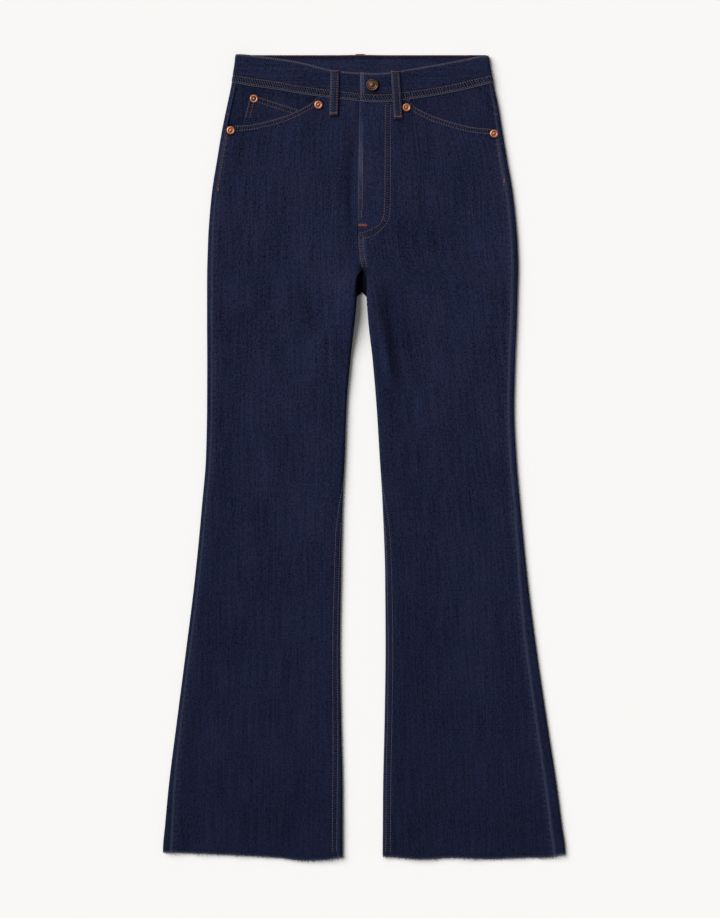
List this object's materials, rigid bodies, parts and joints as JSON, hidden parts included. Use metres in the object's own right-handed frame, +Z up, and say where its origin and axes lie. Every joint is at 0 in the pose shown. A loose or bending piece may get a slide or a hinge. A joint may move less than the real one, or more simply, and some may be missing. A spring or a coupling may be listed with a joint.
{
  "type": "flared jeans",
  "caption": "Dark indigo flared jeans laid flat, front side up, with a raw hem, curved pocket mouths, a coin pocket, belt loops and a shank button.",
  "frame": {"origin": "middle of the garment's outline on the surface it lies on, at the underside", "axes": "+Y to the waist, +Z up out of the surface, +X to the wearer's left; the front faces +Z"},
  "size_m": [0.5431, 1.0881, 0.0133],
  "materials": {
    "denim": "dark indigo stretch denim, fine twill, tobacco topstitching",
    "antique_brass": "dark antique brass, ringed relief",
    "copper": "bright copper, satin"
  },
  "bodies": {
    "root": {"front_right": "denim", "front_left": "denim", "back_right": "denim", "back_left": "denim", "yoke_right": "denim", "yoke_left": "denim", "waistband": "denim", "pocket_facing_right": "denim", "pocket_facing_left": "denim", "coin_pocket": "denim", "fly_shield": "denim", "belt_loop_front_right": "denim", "belt_loop_front_left": "denim", "belt_loop_back": "denim", "waist_button": "antique_brass", "rivet_coin_pocket": "copper", "rivet_right_inner": "copper", "rivet_right_outer": "copper", "rivet_left_inner": "copper", "rivet_left_outer": "copper"}
  },
  "joints": []
}
